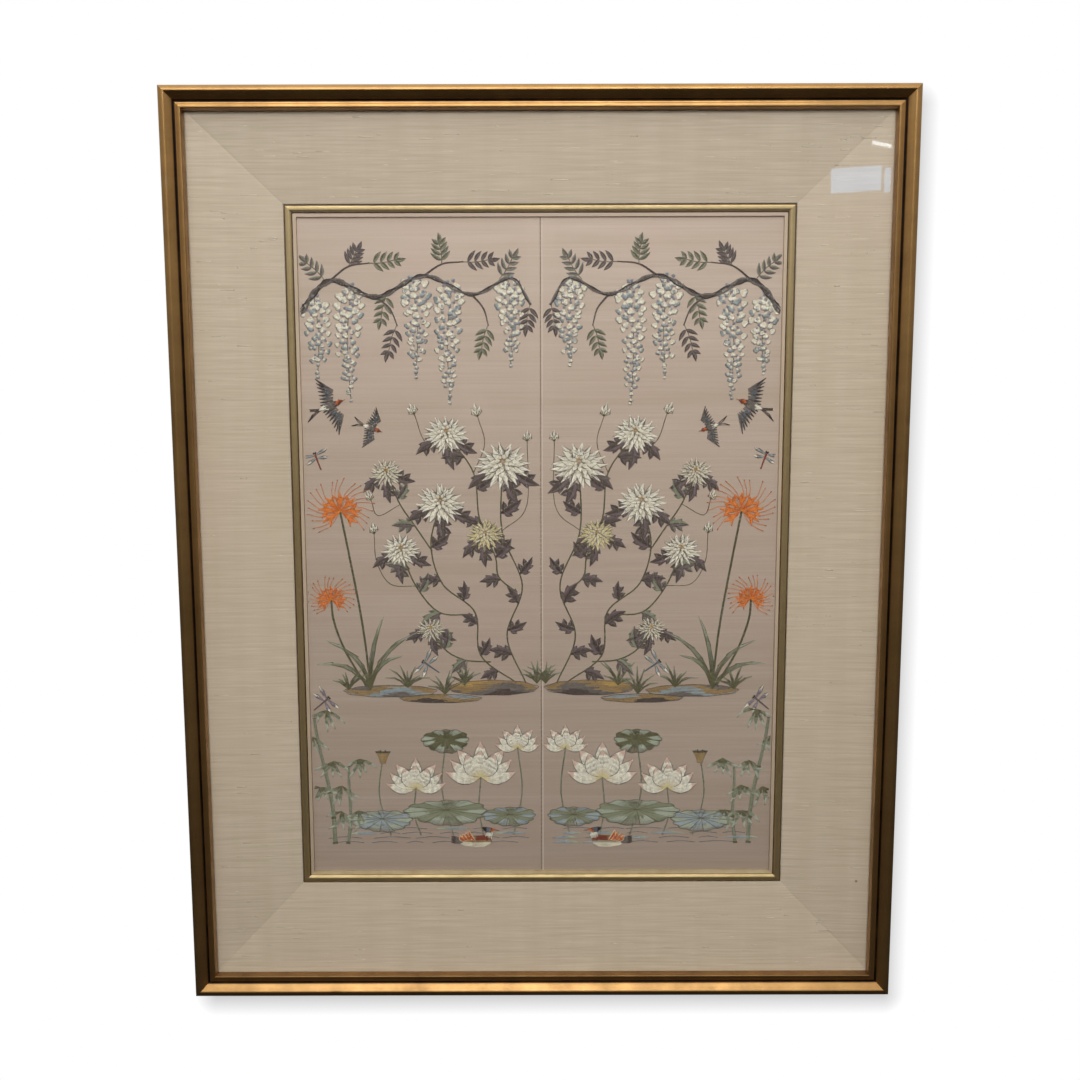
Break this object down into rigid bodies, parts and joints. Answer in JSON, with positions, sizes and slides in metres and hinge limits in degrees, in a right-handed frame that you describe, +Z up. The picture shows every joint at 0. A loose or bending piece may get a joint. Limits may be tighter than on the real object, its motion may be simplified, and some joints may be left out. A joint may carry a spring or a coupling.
{
  "type": "framed silk embroidery panel",
  "caption": "Pair of embroidered silk panels seamed down the middle, behind glass in a sloping silk-covered liner with a gilt fillet and a mitred gilt wooden frame.",
  "frame": {"origin": "centre of the back, on the face that lies against the wall", "axes": "+X to the right seen from the front, +Y into the wall, +Z up"},
  "size_m": [0.64, 0.0305, 0.807],
  "materials": {
    "gilt_moulding": "worn gilt over dark brown, satin",
    "slub_silk": "natural slubbed silk, soft sheen",
    "gold_fillet": "gilt, satin",
    "glass": "clear picture glass",
    "embroidery_silk": "mauve-taupe silk with coloured silk embroidery",
    "backing_board": "plain brown board"
  },
  "bodies": {
    "root": {"rail_bottom": "gilt_moulding", "rail_left": "gilt_moulding", "rail_top": "gilt_moulding", "rail_right": "gilt_moulding", "liner_bottom": "slub_silk", "liner_left": "slub_silk", "liner_top": "slub_silk", "liner_right": "slub_silk", "fillet_bottom": "gold_fillet", "fillet_left": "gold_fillet", "fillet_top": "gold_fillet", "fillet_right": "gold_fillet", "glass": "glass", "silk_left": "embroidery_silk", "silk_right": "embroidery_silk", "backing_board": "backing_board"}
  },
  "joints": []
}
